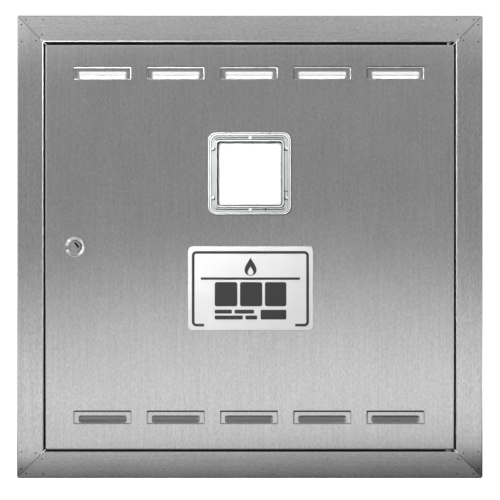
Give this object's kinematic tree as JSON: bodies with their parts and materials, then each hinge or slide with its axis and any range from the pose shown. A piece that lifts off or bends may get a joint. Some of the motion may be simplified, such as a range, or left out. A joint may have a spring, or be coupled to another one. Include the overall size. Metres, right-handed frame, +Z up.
{
  "type": "gas meter access door",
  "caption": "Square brushed stainless door in a mitred wall frame, with louvres, a sight window, a label plate, a cam lock and concealed hinge pins.",
  "frame": {"origin": "middle of the frame, in the plane of the wall's surface where the flange's turned edges rest", "axes": "+X to the right seen from the front, +Y into the wall, +Z up; the front faces -Y"},
  "size_m": [0.6, 0.0712, 0.596],
  "materials": {
    "frame_steel": "stainless, brushed along each member",
    "door_steel": "stainless, brushed vertically",
    "pin_steel": "turned steel, bright",
    "spring_steel": "drawn wire, satin",
    "zinc_plate": "zinc plated, dull",
    "lock_chrome": "polished chrome plate",
    "clear_plastic": "clear moulded plastic, glossy",
    "clear_pane": "clear sheet, glossy",
    "white_plastic": "natural white moulded plastic",
    "label": "printed white sheet, satin",
    "rubber": "matt black",
    "nylon": "natural nylon"
  },
  "bodies": {
    "frame": {"frame_left": "frame_steel", "frame_right": "frame_steel", "frame_top": "frame_steel", "frame_bottom": "frame_steel", "gusset_bottom_left": "frame_steel", "gusset_bottom_right": "frame_steel", "gusset_top_right": "frame_steel", "gusset_top_left": "frame_steel", "anchor_left_upper": "zinc_plate", "anchor_left_lower": "zinc_plate", "anchor_right_upper": "zinc_plate", "anchor_right_lower": "zinc_plate", "door_buffer_upper": "rubber", "door_buffer_lower": "rubber", "lower_hinge_pin": "pin_steel", "lower_hinge_washer": "nylon"},
    "door": {"door_panel": "door_steel", "label_plate": "label", "window_bezel": "clear_plastic", "window_pane": "clear_pane", "window_ring": "white_plastic", "window_rivet_top_left": "clear_plastic", "window_rivet_top_right": "clear_plastic", "window_rivet_bottom_left": "clear_plastic", "window_rivet_bottom_right": "clear_plastic", "lock_housing": "lock_chrome", "lock_washer": "zinc_plate", "lock_nut": "zinc_plate", "lower_hinge_plate": "frame_steel", "upper_pin_bracket": "frame_steel", "upper_pin_spring": "spring_steel"},
    "lock_rotor": {"lock_plug": "lock_chrome", "lock_cam": "zinc_plate", "cam_screw": "zinc_plate"},
    "upper_pin": {"upper_hinge_pin": "pin_steel", "upper_pin_clip": "zinc_plate"}
  },
  "joints": [
    {"name": "door_hinge", "type": "hinge", "parent": "frame", "child": "door", "pos_m": [0.2563, -0.005, 0], "axis": [0, 0, 1], "range_deg": [0, 115]},
    {"name": "lock_turn", "type": "hinge", "parent": "door", "child": "lock_rotor", "pos_m": [-0.225, 0, 0], "axis": [0, -1, 0], "range_deg": [0, 90]},
    {"name": "upper_pin_slide", "type": "slide", "parent": "door", "child": "upper_pin", "axis": [0, 0, -1], "range_m": [0, 0.008], "stiffness_N_per_m": 400, "springref_m": -0.008, "deforming": ["upper_pin_spring"]}
  ]
}
